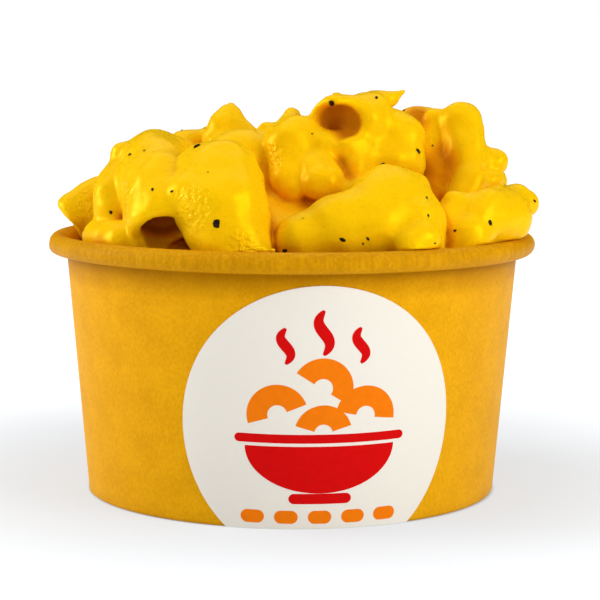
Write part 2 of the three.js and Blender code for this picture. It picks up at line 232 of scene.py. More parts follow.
def label_shape():
    """A round sticker cut along the foot: columns between the circle's lower and upper edge."""
    across = LABEL_RADIUS * np.sin(np.linspace(-np.pi / 2, np.pi / 2, 161))
    across[0] += 0.01
    across[-1] -= 0.01
    half = np.sqrt(LABEL_RADIUS ** 2 - across ** 2)
    slope = np.arctan(WALL_TAPER)
    foot_from_tip = FOOT_RADIUS / np.sin(slope)
    foot = np.sqrt((foot_from_tip + 0.05) ** 2 - across ** 2) - foot_from_tip - LABEL_CENTRE_UP
    low = np.minimum(np.maximum(-half, foot), half - 0.02)
    share = np.linspace(0, 1, 25)[None, :]
    x = np.broadcast_to(across[:, None], (len(across), share.shape[1]))
    y = low[:, None] + (half - low)[:, None] * share
    return plate(x, y, LABEL_BACK, LABEL_FACE)


# Print: a plain bowl of macaroni, curls of steam and bars, in the label's red and orange

def ribbon(line_x, line_y, half_width):
    """A stroke: a path with its half width to each side, rounded at both ends by the width's fall."""
    ahead = np.stack([np.gradient(line_x), np.gradient(line_y)], -1)
    ahead /= np.linalg.norm(ahead, axis=-1, keepdims=True)
    side = np.linspace(-1, 1, 7)[None, :] * np.broadcast_to(half_width, line_x.shape)[:, None]
    x = line_x[:, None] - ahead[:, 1:] * side
    y = line_y[:, None] + ahead[:, :1] * side
    return plate(x, y, PRINT_BACK, PRINT_FACE)


def elbow_print(x, y, bend, half_width, start, end):
    """A printed macaroni: a thick arc with square ends."""
    angle = np.radians(np.linspace(start, end, 33))
    return ribbon(x + bend * np.cos(angle), y + bend * np.sin(angle), half_width)


def bowl_print(half_width, top, depth):
    """A printed bowl: columns from its flat top down to half an ellipse."""
    across = half_width * np.sin(np.linspace(-np.pi / 2, np.pi / 2, 49))
    across[0] *= 0.999
    across[-1] *= 0.999
    low = depth * np.sqrt(1 - (across / half_width) ** 2)[:, None]
    share = np.linspace(0, 1, 9)[None, :]
    return plate(across[:, None] + 0 * share, top - low * share, PRINT_BACK, PRINT_FACE)


def bar_print(x, y, half_length, half_width):
    """A printed bar with round ends."""
    along = half_length * np.sin(np.linspace(-np.pi / 2, np.pi / 2, 41))
    past = np.maximum(np.abs(along) - (half_length - half_width), 0) / half_width
    width = half_width * np.sqrt(np.maximum(1 - past ** 2, 0.0004))
    return ribbon(x + along, np.full_like(along, y), width)


def steam_print(x, y, length, sway, half_width):
    """A printed curl of steam: an upright wave that swells in its middle."""
    share = np.linspace(0, 1, 49)
    width = half_width * np.sqrt(np.sin(np.pi * share) * 0.96 + 0.04)
    return ribbon(x + sway * np.sin(2 * np.pi * share), y + length * (share - 0.5), width)


RED_PRINT = [
    bowl_print(13.5, -3.6, 8.6),
    bar_print(0, -2.2, 15.4, 0.8),
    bar_print(0, -13.2, 5.6, 0.95),
    steam_print(-6.5, 14.6, 6.4, 0.9, 0.95),
    steam_print(0.2, 17.0, 8.0, 1.0, 1.05),
    steam_print(6.9, 14.6, 6.4, 0.9, 0.95),
]
ORANGE_PRINT = [
    elbow_print(-7.8, 2.2, 3.6, 1.85, 20, 200),
    elbow_print(0.2, 7.0, 3.6, 1.85, -35, 150),
    elbow_print(8.0, 1.8, 3.6, 1.85, -10, 170),
    elbow_print(0.4, -1.2, 3.4, 1.75, 15, 165),
    *[bar_print(x, -16.6, 2.1, 1.2) for x in np.linspace(-12, 12, 5)],
]


# Macaroni: each piece is a bent tube from one end over its middle to the other, with its radius.
# bore is the radius of the open first end, depth how deep it is cut, clear how far outside the end
# it still cuts, lip how round its edge is and dark how deep the shade painted inside the open end
# goes. round is how far the ends are rounded, and blend how wide the sauce fills the joint to what
# lies under it. The last four lie behind and at the sides.
PIECES = [
    dict(ends=((-22.9, -31.4, 52.7), (-24.4, -22.5, 60.9), (-26.0, -6, 62.6)), radius=6.4, bore=4.3,
         round=1.6, depth=4.5, dark=0.66, blend=1.2),
    dict(ends=((6.2, -17.2, 71.0), (11.2, -11.8, 71.1), (16.2, -7, 71.2)), radius=5.7, bore=3.5,
         round=2.4, depth=4.2, clear=7, lip=3.5, dark=0.6),
    dict(ends=((15.8, -8, 71.5), (19.3, -9, 68.0), (19.8, -12, 60.5)), radius=5.2, round=4),
    dict(ends=((29.5, -23.5, 53.5), (35.5, -19.5, 54), (42, -12, 54.5)), radius=5.6, round=5),
    dict(ends=((31, -23, 54), (31.5, -24, 51), (32, -24.5, 46)), radius=5.2),
    dict(ends=((20.5, 9, 65), (25.5, 12, 70), (31, 13, 62)), radius=4),
    dict(ends=((-31.5, -17, 50), (-32.5, -13, 60), (-29, -5, 57)), radius=4.2, round=3),
    dict(ends=((-42.3, -8, 52.6), (-38.0, -7, 55.5), (-33.5, -5, 57.4)), radius=4.2, round=0.6, blend=1.2),
    dict(ends=((-24, 8, 64), (-19.5, 8, 65), (-10.5, 8, 64.5)), radius=4.6, round=3),
    dict(ends=((9, 39.0, 56.5), (7, 31, 62.5), (2, 20, 64)), radius=5.6, bore=3.9,
         round=1.6, dark=0.8),
    dict(ends=((-21, 33.0, 57.5), (-17, 26, 63.5), (-9, 17, 64.5)), radius=5.4, bore=3.8,
         round=1.6, dark=0.8),
    dict(ends=((-37.0, 22, 53.5), (-30, 17, 58.5), (-21, 12, 60)), radius=5.2, bore=3.6,
         round=1.6, dark=0.8),
    dict(ends=((39.5, 19, 56), (33, 14, 61), (25, 10, 61.5)), radius=5.2, bore=3.6,
         round=1.6, dark=0.8),
]

# Sauced pieces that swell and thin: the width of the sauce's fillet to what lies under them, how
# wide one stretch runs into the next, and a chain of balls, each with its centre and radius. The
# under chains are joined before the bores are cut, the others after.
UNDER_CHAINS = [
    (2.5, 2, [((-28.3, -10, 63.0), 4.0), ((-27.8, -18, 60.5), 4.4), ((-25.9, -25, 55), 4.4),
              ((-26.4, -27, 49.5), 3.8)]),
    (1.0, 2, [((-35.5, -18, 50.2), 3.6), ((-30.5, -26, 49.8), 3.9)]),
]
CHAINS = [
    (1.5, 2, [((-12, -5, 66.5), 3.2), ((-7.8, -9, 65.6), 3.4), ((-6, -13, 60), 4.0)]),
    (0.4, 5, [((-14.9, -26.0, 60.9), 7.0), ((-12.8, -27.5, 60.6), 7.1), ((-12.2, -32.5, 56.0), 7.6),
              ((-10.2, -35, 49), 6.9)]),
    (2.5, 2, [((-18.4, -33.0, 59.0), 3.9), ((-15.0, -34.5, 57.0), 4.6)]),
    (0.9, 3, [((0, -13.5, 66.4), 6.0), ((0.2, -17.5, 61.6), 4.2), ((0.5, -20.8, 58.9), 2.4)]),
    (0.4, 2, [((4.4, -18.5, 62.2), 4.4), ((5.6, -21.5, 60.6), 4.1)]),
    (1.5, 2, [((-4.9, -9, 69.8), 1.9), ((-3.2, -10, 68), 3.6)]),
    (1.8, 2, [((-0.2, -8.5, 72.7), 1.5), ((-0.4, -9.5, 70.0), 3.6)]),
    (1.5, 3, [((1.8, -14, 70.0), 2.6), ((6, -15.5, 67.0), 2.9), ((12, -13, 66.0), 4.2),
              ((18, -11.5, 64), 5.0)]),
    (2.5, 2, [((11.0, -14.5, 66.0), 3.2), ((11.6, -17.0, 61.5), 3.0), ((12.0, -19.0, 58.0), 3.4)]),
    (1.5, 2, [((9.8, -21.5, 57.6), 3.0), ((13, -22, 58.5), 3.4)]),
    (0.8, 3, [((1.6, -34.0, 51.0), 5.0), ((9, -33.0, 52.6), 6.3), ((14.8, -31.5, 53.8), 6.9),
              ((17.3, -29, 57.2), 6.5), ((20.8, -31, 50), 7.0)]),
    (2.0, 2, [((20.5, -27, 58.5), 5.0), ((21.5, -30, 54), 6.2)]),
    (1.2, 1, [((22.5, -35.5, 51.5), 3.8), ((21.0, -36.5, 50.5), 3.8)]),
    (2.0, 2, [((29.5, 1.0, 65), 4.2), ((29.8, -2.5, 58), 4.4)]),
    (1.5, 2, [((27.4, 0.5, 71.6), 2.4), ((26.8, 0.5, 68.5), 3.2), ((25.6, -1, 63), 3.4)]),
    (2.5, 2, [((32.4, -1, 71.2), 4.3), ((33.6, -4, 66), 3.5), ((33.8, -7.5, 60.5), 3.4),
              ((32.0, -10.5, 56.5), 3.4)]),
    (1.2, 1, [((35.4, -3.5, 64), 3.3), ((38.7, -3, 63.8), 2.9)]),
    (0.8, 1, [((35.2, -6.2, 60.2), 2.5), ((38.5, -5, 60.2), 2.2)]),
    (1.0, 1, [((-12.0, 4, 74.2), 0.7), ((-12.4, 3.5, 72.2), 2.2), ((-12.7, 2.5, 69.4), 3.8),
              ((-12.7, 1.5, 66.5), 5.2)]),
    (1.0, 1, [((-13.2, 2.8, 72.0), 1.4), ((-15.9, 1.5, 67.8), 2.0)]),
    (1.0, 1, [((-11.4, 2.8, 72.0), 1.4), ((-8.2, 1.0, 67.6), 2.2)]),
    (1.2, 2, [((29, -23, 54), 3.8), ((30, -24, 49), 5.0)]),
    (1.0, 1, [((15.5, -7, 75.0), 2.6), ((18.8, -6, 75.9), 1.6), ((21.3, -5, 77.2), 0.5)]),
    (1.0, 1, [((9.6, -12.0, 73.8), 1.8), ((8.2, -12.6, 76.3), 1.1)]),
]

# Lumps of sauce and torn pasta: centre and radius
LUMPS = [
    ((-32.4, -11, 65.6), 1.9),
    ((-22.5, -9, 66.3), 2.2),
    ((21.6, -9.5, 68.6), 3.2),
    ((44.4, -11, 56.4), 2.3),
    ((42.0, -13, 57.8), 2.2),
    ((29.6, -22.5, 57.4), 2.0),
    ((36.0, -22.5, 57.6), 1.6),
]

# Beads of sauce that ran onto the rim
BEADS = [
    ((-8.6, -42.8, 50.2), 0.9),
    ((-6.9, -42.9, 50.5), 0.7),
    ((-5.2, -43.0, 50.3), 1.0),
    ((-3.4, -43.1, 50.1), 0.7),
    ((6.8, -43.0, 50.2), 0.5),
    ((20.5, -38.6, 50.3), 0.8),
    ((22.8, -37.2, 50.4), 0.9),
]

# Dents pressed into the pieces: centre, radius and how soft their edge is
DENTS = [
    ((32.0, -27.4, 59.0), 2.3, 0.8),
    ((37.0, -8.5, 62.2), 1.5, 1.5),
    ((-3.0, -13.5, 72.4), 1.5, 2.0),
    ((10.7, -11.5, 78.3), 2.6, 1.0),
    ((11.6, -20.8, 73.0), 4.5, 3.5),
]

# Spots where shade is painted into the sauce, darker and more orange: centre, radius and how deep the
# painted shade goes
PAINTED_SHADE_SPOTS = [
    ((28.8, -5, 62.5), 6.5, 0.40),
    ((24.8, 8.0, 71.5), 5.5, 0.50),
    ((24.8, 0.0, 70.3), 3.6, 0.45),
    ((9.5, -18.5, 61.0), 5.5, 0.40),
    ((0.0, -24, 57.0), 5.0, 0.20),
    ((-44.0, -10, 47.5), 4.5, 0.80),
    ((-34.5, -25.5, 48.0), 5.0, 0.40),
]

# Places where the thin wet film is finely pitted and sparkles: centre and radius
WET_SPOTS = [
    ((-16.5, -37.5, 57), 5.5),
    ((-28.0, -27, 57.5), 5.0),
    ((-9.0, -42, 51.5), 3.5),
    ((-38.5, -12, 56), 5.0),
    ((-4.0, -19, 65), 3.8),
    ((23.0, -34, 52), 4.5),
    ((41.0, -15, 57), 4.0),
]

# The pieces behind lie in rings round the dome: how many, how far out, how high, the angles of
# the first and last from +X towards +Y, and the share with an open end
RINGS = [
    (8, 34, 54, 4, 178, 0.6),
    (6, 22, 61, 5, 172, 0.6),
    (3, 8, 62.5, 30, 250, 0.6),
]
RING_HALF_LENGTH = 10
RING_RISE = 6
RING_RADIUS = 5.7
RING_BORE = 3.9
RING_TURN = 2.2
RING_LEAN = 1.2


def draw(piece, use):
    """A number from 0 to 1 that is always the same for the same piece and use."""
    wave = np.sin(piece * 12.9898 + use * 78.233) * 43758.5453
    return wave - np.floor(wave)


def spun(vector, axis, angle):
    """A vector turned about a unit axis."""
    return (vector * np.cos(angle) + np.cross(axis, vector) * np.sin(angle)
            + axis * (axis @ vector) * (1 - np.cos(angle)))


def ring_pieces():
    """The pieces of the rings, each turned, tipped and arched by its own draws."""
    pieces = []
    for ring, (count, out, height, first, last, open_share) in enumerate(RINGS):
        for i in range(count):
            piece = ring * 10 + i
            angle = radians(first + (last - first) * i / (count - 1))
            outward = np.array([np.cos(angle), np.sin(angle), 0])
            sideways = np.array([-np.sin(angle), np.cos(angle), 0])
            turn = (draw(piece, 1) - 0.5) * RING_TURN
            tip = draw(piece, 2) - 0.5
            lean = (draw(piece, 3) - 0.3) * RING_LEAN
            along = (sideways * np.cos(turn) + outward * np.sin(turn)) * np.cos(tip)
            along[2] = np.sin(tip)
            along /= np.linalg.norm(along)
            rise = spun(np.array([0, 0, 1.0]), along, lean)
            rise -= along * (rise @ along)
            rise /= np.linalg.norm(rise)
            middle = outward * out + np.array([0, 0, height])
            reach = RING_HALF_LENGTH * (0.85 + 0.3 * draw(piece, 4))
            first_end = middle - along * reach - rise * RING_RISE
            last_end = middle + along * reach - rise * RING_RISE
            ends = (first_end, middle, last_end)
            bore = RING_BORE if draw(piece, 6) < open_share else 0
            pieces.append(dict(ends=ends, radius=RING_RADIUS * (0.9 + 0.2 * draw(piece, 5)), bore=bore))
    return pieces


def bend_of(ends):
    """The circle through three points: its centre, the ways out to the middle point, along and
    across, its radius and half the angle from end to end."""
    start, over, end = (np.asarray(p, float) for p in ends)
    chord = end - start
    length = np.linalg.norm(chord)
    along = chord / length
    rise = over - start - along * ((over - start) @ along)
    sag = np.linalg.norm(rise)
    out = rise / sag
    radius = (length ** 2 / 4 + sag ** 2) / (2 * sag)
    centre = (start + end) / 2 + out * (sag - radius)
    shallow = np.arcsin(min(1, length / 2 / radius))
    half = shallow if sag <= radius else np.pi - shallow
    return centre, out, along, np.cross(out, along), radius, half


def soft_min(a, b, width):
    """The lower of two fields, with a rounded corner of that width where they are alike."""
    near = np.maximum(width - np.abs(a - b), 0) / width
    return np.minimum(a, b) - near ** 3 * width / 6


def soft_max(a, b, width):
    """The higher of two fields, with a rounded corner."""
    return -soft_min(-a, -b, width)


class Field:
    """Distances to a surface, negative inside it, on an even grid of points."""

    def __init__(self, low, high, step):
        self.step = step
        self.low = np.array(low)
        self.axes = [np.arange(a, b + step, step, dtype=np.float32) for a, b in zip(low, high)]
        self.values = np.full([len(axis) for axis in self.axes], 99, np.float32)

    def window(self, low, high):
        """The grid's part between two corners, and its x, y and z, ready to spread over it."""
        cut = [slice(*np.searchsorted(axis, (a, b))) for axis, a, b in zip(self.axes, low, high)]
        x, y, z = (axis[part] for axis, part in zip(self.axes, cut))
        return tuple(cut), x[:, None, None], y[None, :, None], z[None, None, :]

    def at(self, points, values=None):
        """The field between its grid points, by three linear steps."""
        values = self.values if values is None else values
        place = (points - self.low) / self.step
        place = np.clip(place, 0, np.array(values.shape) - 1.001)
        cell = place.astype(int)
        share = place - cell
        total = 0
        for corner in np.ndindex(2, 2, 2):
            weight = np.prod(np.where(corner, share, 1 - share), axis=1)
            index = cell + corner
            total = total + weight * values[index[:, 0], index[:, 1], index[:, 2]]
        return total


def tube_place(bend, x, y, z):
    """Where points lie beside a bent tube: distance from its centreline, distance past its nearer
    end, and the angle from its middle, which is negative towards its first end."""
    centre, out, along, across, radius, half = (np.float32(v) for v in bend)
    x, y, z = x - centre[0], y - centre[1], z - centre[2]
    a = x * out[0] + y * out[1] + z * out[2]
    b = x * along[0] + y * along[1] + z * along[2]
    c = x * across[0] + y * across[1] + z * across[2]
    angle = np.arctan2(b, a)
    held = np.clip(angle, -half, half)
    from_a = a - radius * np.cos(held)
    from_b = b - radius * np.sin(held)
    past = from_b * np.cos(held) - from_a * np.sin(held)
    away = from_a * np.cos(held) + from_b * np.sin(held)
    inside = (np.abs(angle) - half) * radius
    return np.hypot(away, c), np.where(np.abs(angle) <= half, inside, np.abs(past)), angle


def capped(from_line, past_end, radius, soft):
    """Distance to a tube with flat ends whose edges are rounded by soft."""
    side = from_line - (radius - soft)
    end = past_end + soft
    outside = np.hypot(np.maximum(side, 0), np.maximum(end, 0))
    return outside + np.minimum(np.maximum(side, end), 0) - soft


def swelling(a, b, radius_a, radius_b, x, y, z):
    """Distance to a line from a to b whose radius goes evenly from one size to another."""
    way = (b - a).astype(np.float32)
    share = (x - a[0]) * way[0] + (y - a[1]) * way[1] + (z - a[2]) * way[2]
    share = np.clip(share / np.float32(way @ way), 0, 1)
    near = [axis - start - share * step for axis, start, step in zip((x, y, z), a, way)]
    return np.sqrt(near[0] ** 2 + near[1] ** 2 + near[2] ** 2) - (radius_a + (radius_b - radius_a) * share)


def ball_distance(field, centre, radius):
    """The grid's part round a ball, and the distance to the ball there."""
    centre = np.array(centre)
    cut, x, y, z = field.window(centre - radius - 3, centre + radius + 3)
    return cut, np.sqrt((x - centre[0]) ** 2 + (y - centre[1]) ** 2 + (z - centre[2]) ** 2) - radius


def tub_room(r, z):
    """Depth into what the heap leaves free: positive in the rolled rim, in the wall and outside
    them, up to the top of the rim."""
    roll = ROLL_RADIUS + HEAP_CLEARANCE - np.hypot(r - ROLL_CENTRE[0], z - ROLL_CENTRE[1])
    wall = r - (wall_line(z) - PAPER / 2 - HEAP_CLEARANCE)
    outside = np.minimum(r - ROLL_CENTRE[0], TUB_HEIGHT + HEAP_CLEARANCE - z)
    return np.maximum(np.where(z > ROLL_CENTRE[1], roll, wall), outside)


def join_chains(field, chains):
    """Each chain joined to the field: swelling lines from ball to ball, run into one another and
    then into what lies under them."""
    for fillet, run, chain in chains:
        spots = np.array([centre for centre, _ in chain], float)
        radii = [radius for _, radius in chain]
        margin = max(radii) + FIELD_MARGIN
        cut, x, y, z = field.window(spots.min(0) - margin, spots.max(0) + margin)
        shape = np.float32(99)
        for k in range(len(chain) - 1):
            shape = soft_min(shape, swelling(spots[k], spots[k + 1], radii[k], radii[k + 1], x, y, z), run)
        field.values[cut] = soft_min(field.values[cut], shape, fillet)


def heap_field():
    """The heap as a field: a domed core, whose height falls with the square of the distance from
    its top, the pieces and lumps joined to it by soft minima, which leave a fillet of sauce, their
    open ends bored, and the tub's room taken off."""
    field = Field(FIELD_LOW, FIELD_HIGH, FIELD_STEP)
    _, x, y, z = field.window(FIELD_LOW, (99, 99, 99))
    r = np.hypot(x, y)
    from_top = np.hypot(x, y - CORE_DOME_BACK) / CORE_DOME_RADIUS
    dome = CORE_EDGE_HEIGHT + CORE_DOME * (1 - from_top ** 2)
    field.values[:] = np.maximum((z - dome) * CORE_SLOPE, r - RIM_RADIUS)
    pieces = PIECES + ring_pieces()
    bends = [bend_of(piece["ends"]) for piece in pieces]
    for piece, bend in zip(pieces, bends):
        centre, out, along, _, radius, half = bend
        angle = np.linspace(-half, half, 9)[:, None]
        line = centre + radius * (np.cos(angle) * out + np.sin(angle) * along)
        margin = piece["radius"] + FIELD_MARGIN
        cut, x, y, z = field.window(line.min(0) - margin, line.max(0) + margin)
        from_line, past_end, _ = tube_place(bend, x, y, z)
        shape = capped(from_line, past_end, piece["radius"], piece.get("round", END_ROUND))
        field.values[cut] = soft_min(field.values[cut], shape, piece.get("blend", SAUCE_FILLET))
    join_chains(field, UNDER_CHAINS)
    for piece, bend in zip(pieces, bends):
        if not piece.get("bore"):
            continue
        centre, out, along, _, radius, half = bend
        mouth = centre + radius * (np.cos(half) * out - np.sin(half) * along)
        margin = piece["radius"] + BORE_DEPTH + 2
        cut, x, y, z = field.window(mouth - margin, mouth + margin)
        from_line, past_end, angle = tube_place(bend, x, y, z)
        floor_depth = -past_end - piece.get("depth", BORE_DEPTH)
        hollow = soft_max(from_line - piece["bore"], floor_depth, BORE_FLOOR_ROUND)
        beyond = past_end - piece.get("clear", BORE_CLEAR)
        hollow = np.where(angle < 0, soft_max(hollow, beyond, BORE_FLOOR_ROUND), 9)
        field.values[cut] = soft_max(field.values[cut], -hollow, piece.get("lip", BORE_LIP))
    join_chains(field, CHAINS)
    for centre, radius in LUMPS:
        cut, ball = ball_distance(field, centre, radius)
        field.values[cut] = soft_min(field.values[cut], ball, LUMP_FILLET)
    for centre, radius, soft in DENTS:
        cut, ball = ball_distance(field, centre, radius)
        field.values[cut] = soft_max(field.values[cut], -ball, soft)
    for centre, radius in BEADS:
        cut, ball = ball_distance(field, centre, radius)
        field.values[cut] = soft_min(field.values[cut], ball, BEAD_FILLET)
    _, x, y, z = field.window(FIELD_LOW, (99, 99, 99))
    r = np.hypot(x, y)
    field.values[:] = soft_max(field.values, tub_room(r, z), RIM_FILLET)
    field.values[:] = np.maximum(field.values, np.maximum(np.abs(x), np.abs(y)) - HEAP_REACH)
    return field


# How steeply a painted shade spot's colour and a wet spot's film fall at their edge. The shade painted
# inside a bore begins this far outside its mouth, deepens over this length, and is gone this far past the
# bore's wall.
SHADE_SPOT_EDGE = 1.6
WET_EDGE = 2
MOUTH_SHADE_FROM = 0.3
MOUTH_SHADE_LENGTH = 3.0
LIP_FADE = 1.3


def in_painted_shade_spots(points):
    """How deep the painted shade is at each point: each painted shade spot fades from its centre to its
    edge.
    """
    deep = np.zeros(len(points))
    for centre, radius, amount in PAINTED_SHADE_SPOTS:
        near = 1 - np.linalg.norm(points - np.array(centre), axis=1) / radius
        deep = np.maximum(deep, amount * np.clip(near * SHADE_SPOT_EDGE, 0, 1))
    return deep


def in_wet_spots(points):
    """1 in the middle of each wet spot, falling to 0 at its edge."""
    wet = np.zeros(len(points))
    for centre, radius in WET_SPOTS:
        near = 1 - np.linalg.norm(points - np.array(centre), axis=1) / radius
        wet = np.maximum(wet, np.clip(near * WET_EDGE, 0, 1))
    return wet


def in_bores_painted_shade(points):
    """How deep the shade painted into a piece's open end is at each point: from 0 just outside the
    mouth to the piece's own share nearly 3 mm in, fading across the lip of the bore."""
    deep = np.zeros(len(points))
    x, y, z = points.T
    for piece in PIECES + ring_pieces():
        if piece.get("bore"):
            from_line, past_end, angle = tube_place(bend_of(piece["ends"]), x, y, z)
            within = (angle < 0) & (past_end > -BORE_DEPTH - 1)
            shade = np.clip((MOUTH_SHADE_FROM - past_end) / MOUTH_SHADE_LENGTH, 0, 1) * piece.get("dark", 1)
            shade = shade * np.clip(piece["bore"] + LIP_FADE - from_line, 0, 1)
            deep = np.maximum(deep, np.where(within, shade, 0))
    return deep


# Shade painted into the sauce where it is closed in: the share of solid round a point this far out,
# from the share that counts as open, over the span up to wholly closed, and the deepest painted shade that
# it alone gives
CLOSED_LOOK_OUT = 1.6
CLOSED_FROM = 0.37
CLOSED_SPAN = 0.42
CLOSED_MOST = 0.76
PAINTED_SHADE_MOST = 0.8
BORE_PAINTED_SHADE_MOST = 0.9
BLUR_REACH = 3
BLUR_TIMES = 4

# Relief on the sauce: amounts and wave lengths of its noise
BROAD_RELIEF = (0.5, 5.5)
FINE_RELIEF = (0.26, 2.7)
WET_WAVE = 1.2
DRY_AMOUNT = 0.03
WET_AMOUNT = 0.09


def sauce_painted_shade(field, points, way_out):
    """How deep the shade painted into the sauce is at each point: the blurred share of solid just
    outside it, then the painted shade spots added, then the shade painted in the open ends where it is
    deeper."""
    solid = blurred((field.values < 0).astype(np.float32), BLUR_REACH, BLUR_TIMES)
    around = field.at(points + way_out * CLOSED_LOOK_OUT, solid)
    shade = np.clip((around - CLOSED_FROM) / CLOSED_SPAN, 0, 1) * CLOSED_MOST
    shade = np.minimum(shade + in_painted_shade_spots(points), PAINTED_SHADE_MOST)
    return np.maximum(shade, in_bores_painted_shade(points) * BORE_PAINTED_SHADE_MOST)


def sauce_relief(points, wet):
    """How far each point stands out: noise of three wave lengths, the finest stronger where it is
    wet, and none inside the tub or near its paper."""
    relief = BROAD_RELIEF[0] * lumpiness(points, BROAD_RELIEF[1], 1)
    relief = relief + FINE_RELIEF[0] * lumpiness(points, FINE_RELIEF[1], 2)
    relief += (DRY_AMOUNT + WET_AMOUNT * wet) * lumpiness(points, WET_WAVE, 3)
    free = points[:, 2] > CORE_EDGE_HEIGHT
    clear_of_tub = np.clip(-tub_room(np.hypot(points[:, 0], points[:, 1]), points[:, 2]), 0, 1)
    return relief * free * clear_of_tub


def surface_of(field):
    """The field's zero surface: one point in each cell that it passes through, at the middle of
    where it cuts the cell's edges, and a quad round each grid edge that it cuts."""
    inside = field.values < 0
    shape = np.array(inside.shape) - 1
    count = np.zeros(shape, np.int8)
    for corner in np.ndindex(2, 2, 2):
        count += inside[tuple(slice(c, c + n) for c, n in zip(corner, shape))]
    cells = np.argwhere((count > 0) & (count < 8))
    number = np.full(shape, -1, np.int32)
    number[tuple(cells.T)] = np.arange(len(cells))
    total = np.zeros((len(cells), 3))
    cuts = np.zeros(len(cells))
    for axis in range(3):
        for i, j in np.ndindex(2, 2):
            start = np.insert([i, j], axis, 0)
            end = np.insert([i, j], axis, 1)
            a = field.values[tuple((cells + start).T)]
            b = field.values[tuple((cells + end).T)]
            crossed = (a < 0) != (b < 0)
            share = np.where(crossed, a / np.where(crossed, a - b, 1), 0)
            total += np.where(crossed[:, None], start + share[:, None] * (end - start), 0)
            cuts += crossed
    points = field.low + field.step * (cells + total / cuts[:, None])
    quads = []
    for axis in range(3):
        first = [slice(1, -1)] * 3
        second = [slice(1, -1)] * 3
        first[axis] = slice(0, -1)
        second[axis] = slice(1, None)
        changes = inside[tuple(first)] != inside[tuple(second)]
        edge = np.argwhere(changes) + np.array([1, 1, 1]) - np.eye(3, dtype=int)[axis]
        step_a = np.eye(3, dtype=int)[(axis + 1) % 3]
        step_b = np.eye(3, dtype=int)[(axis + 2) % 3]
        round_edge = [edge - step_a - step_b, edge - step_b, edge, edge - step_a]
        quad = np.stack([number[tuple(cell.T)] for cell in round_edge], 1)
        falling = inside[tuple(second)][changes]
        quad[falling] = quad[falling][:, ::-1]
        quads.append(quad)
    return points, np.concatenate(quads)


def edges_of(faces):
    """Every face's edges, one way round."""
    return np.concatenate([faces[:, [k, (k + 1) % 4]] for k in range(4)])


def smoothed(points, faces, times, share=0.5):
    """Each point moved towards the middle of its neighbours, again and again."""
    edges = edges_of(faces)
    edges = np.concatenate([edges, edges[:, ::-1]])
    degree = np.bincount(edges[:, 0], minlength=len(points))[:, None]
    for _ in range(times):
        total = [np.bincount(edges[:, 0], points[edges[:, 1], k], len(points)) for k in range(3)]
        points = points * (1 - share) + share * np.stack(total, 1) / degree
    return points


def normals_of(points, faces):
    """The way out at each point: the sum of its faces' cross products."""
    across = np.cross(points[faces[:, 2]] - points[faces[:, 0]], points[faces[:, 3]] - points[faces[:, 1]])
    total = [sum(np.bincount(faces[:, i], across[:, k], len(points)) for i in range(4)) for k in range(3)]
    normal = np.stack(total, 1)
    return normal / np.maximum(np.linalg.norm(normal, axis=1, keepdims=True), 1e-9)


LATTICE = 24


def lumpiness(points, wave, seed):
    """Smooth noise from -1 to 1: random values on a lattice, eased between its corners."""
    lattice = np.random.default_rng(seed).uniform(-1, 1, (LATTICE, LATTICE, LATTICE))
    place = points / wave + LATTICE
    cell = np.floor(place).astype(int)
    share = place - cell
    share = share * share * (3 - 2 * share)
    total = np.zeros(len(points))
    for corner in np.ndindex(2, 2, 2):
        weight = np.prod(np.where(corner, share, 1 - share), axis=1)
        index = (cell + corner) % LATTICE
        total += weight * lattice[index[:, 0], index[:, 1], index[:, 2]]
    return total


def blurred(values, reach, times):
    """A field averaged over a box along each axis in turn, again and again."""
    for _ in range(times):
        for axis in range(3):
            pad = [(reach + 1, reach) if k == axis else (0, 0) for k in range(3)]
            total = np.cumsum(np.pad(values, pad, mode="edge"), axis=axis, dtype=np.float32)
            ahead = np.take(total, np.arange(2 * reach + 1, total.shape[axis]), axis)
            behind = np.take(total, np.arange(0, total.shape[axis] - 2 * reach - 1), axis)
            values = (ahead - behind) / (2 * reach + 1)
    return values


SKIRT_RINGS = 5


def skirt(points, faces):
    """The heap's hidden lower part: its open lower edge, carried down inside the wall in rings and
    closed by a fan on the tub's base."""
    edges = edges_of(faces)
    low = np.sort(edges, 1)
    _, index, count = np.unique(low, axis=0, return_index=True, return_counts=True)
    loop = np.unique(edges[index[count == 1]])
    loop = loop[np.argsort(np.arctan2(points[loop, 1], points[loop, 0]))]
    top_height = points[loop, 2].mean()
    way = points[loop, :2] / np.linalg.norm(points[loop, :2], axis=1, keepdims=True)
    rings = []
    for height in np.linspace(top_height, HEAP_FLOOR, SKIRT_RINGS + 1)[1:]:
        r = wall_line(height) - PAPER / 2 - HEAP_CLEARANCE
        rings.append(np.column_stack([way * r, np.full(len(loop), height)]))
    rings.append(np.column_stack([way * r * 0.5, np.full(len(loop), HEAP_FLOOR)]))
    start = len(points)
    points = np.concatenate([points, *rings, [[0, 0, HEAP_FLOOR]]])
    rows = [loop] + [start + len(loop) * k + np.arange(len(loop)) for k in range(len(rings))]
    quads = []
    for upper, lower in zip(rows[:-1], rows[1:]):
        quads.append(np.stack([upper, lower, np.roll(lower, -1), np.roll(upper, -1)], 1))
    fan = np.stack([rows[-1], np.full(len(loop), len(points) - 1), np.roll(rows[-1], -1)], 1)
    return points, np.concatenate([faces, *quads]), fan


